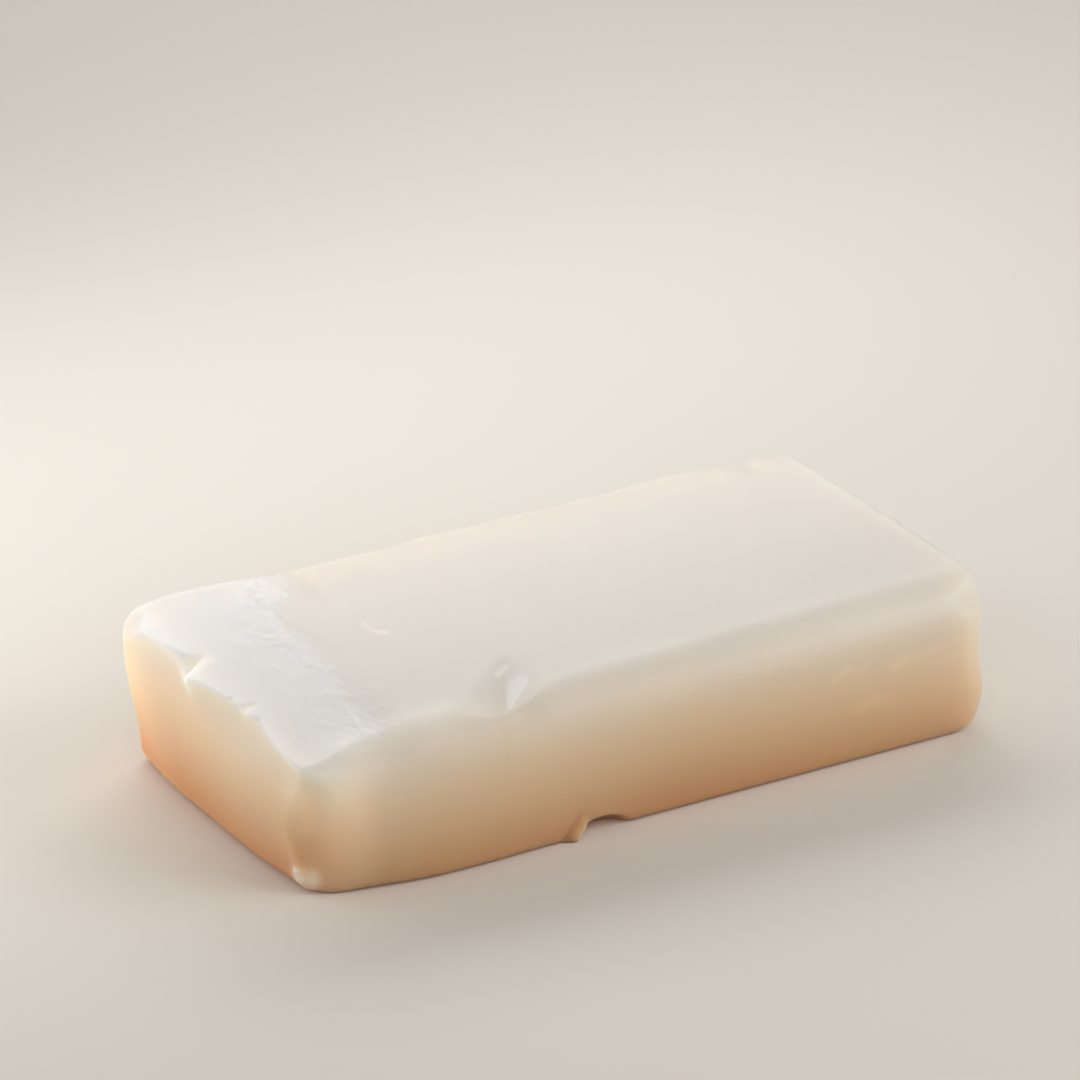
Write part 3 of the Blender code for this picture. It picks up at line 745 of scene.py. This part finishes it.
# ---------------------------------------------------------------------------------------------
# The light: a pale room, and soft boxes placed by heading (degrees from +Y towards +X) and
# elevation as seen from the block.
ROOM_COLOUR, ROOM_STRENGTH = (1.0, 1.0, 1.0, 1.0), 0.13
SOFT_BOXES = {
    # heading, elevation, distance, width, height, watts
    "window": (25.0, 35.0, 0.593, 0.6, 0.28, 1.2),
    "back": (-5.0, 45.0, 0.26, 0.45, 0.12, 0.265),
    "back_left": (-40.0, 25.0, 0.3, 0.3, 0.12, 0.08),
    "low_left": (-60.0, 10.0, 0.35, 0.3, 0.1, 0.44),
    "corner": (-150.0, 25.0, 0.9, 0.6, 0.4, 1.3),
    "above": (170.0, 62.0, 0.7, 0.6, 0.4, 0.6),
    "right": (135.0, 30.0, 0.6, 0.4, 0.4, 1.5),
}

world = bpy.data.worlds.new("room")
world.use_nodes = True
world.node_tree.nodes["Background"].inputs["Color"].default_value = ROOM_COLOUR
world.node_tree.nodes["Background"].inputs["Strength"].default_value = ROOM_STRENGTH
bpy.context.scene.world = world


def towards(heading, elevation):
    """The direction from the block to a soft box."""
    heading, elevation = math.radians(heading), math.radians(elevation)
    level = math.cos(elevation)
    return Vector((math.sin(heading) * level, math.cos(heading) * level, math.sin(elevation)))


for name, (heading, elevation, distance, width, height, watts) in SOFT_BOXES.items():
    lamp = bpy.data.lights.new(name, "AREA")
    lamp.shape = "RECTANGLE"
    lamp.size = width
    lamp.size_y = height
    lamp.energy = watts
    box = bpy.data.objects.new(name, lamp)
    box.location = towards(heading, elevation) * distance
    box.rotation_euler = (-towards(heading, elevation)).to_track_quat("-Z", "Y").to_euler()
    box.visible_camera = False
    bpy.context.scene.collection.objects.link(box)


# ---------------------------------------------------------------------------------------------
# The camera, a long lens that looks at the block from the front left and a little above. It
# stands on the line from its target towards the view, and is rolled about that line.
CAMERA_HEADING, CAMERA_ELEVATION, CAMERA_ROLL = -30.173, 24.645, -0.291
CAMERA_DISTANCE = 1.343
CAMERA_TARGET = Vector((0.02651, 0.05123, 0.015))
CAMERA_LENS, CAMERA_SENSOR = 233.33, 36.0

camera_data = bpy.data.cameras.new("camera")
camera_data.lens = CAMERA_LENS
camera_data.sensor_width = CAMERA_SENSOR
camera = bpy.data.objects.new("camera", camera_data)
heading, elevation, roll = (
    math.radians(angle) for angle in (CAMERA_HEADING, CAMERA_ELEVATION, CAMERA_ROLL)
)
back = Vector((
    math.sin(heading) * math.cos(elevation), -math.cos(heading) * math.cos(elevation), math.sin(elevation)
))
level = Vector((math.cos(heading), math.sin(heading), 0))
upright = back.cross(level)
right = level * math.cos(roll) + upright * math.sin(roll)
up = upright * math.cos(roll) - level * math.sin(roll)
turn = Matrix((right, up, back)).transposed().to_4x4()
camera.matrix_world = Matrix.Translation(CAMERA_TARGET + back * CAMERA_DISTANCE) @ turn
bpy.context.scene.collection.objects.link(camera)
bpy.context.scene.camera = camera
bpy.context.scene.view_settings.view_transform = "Standard"
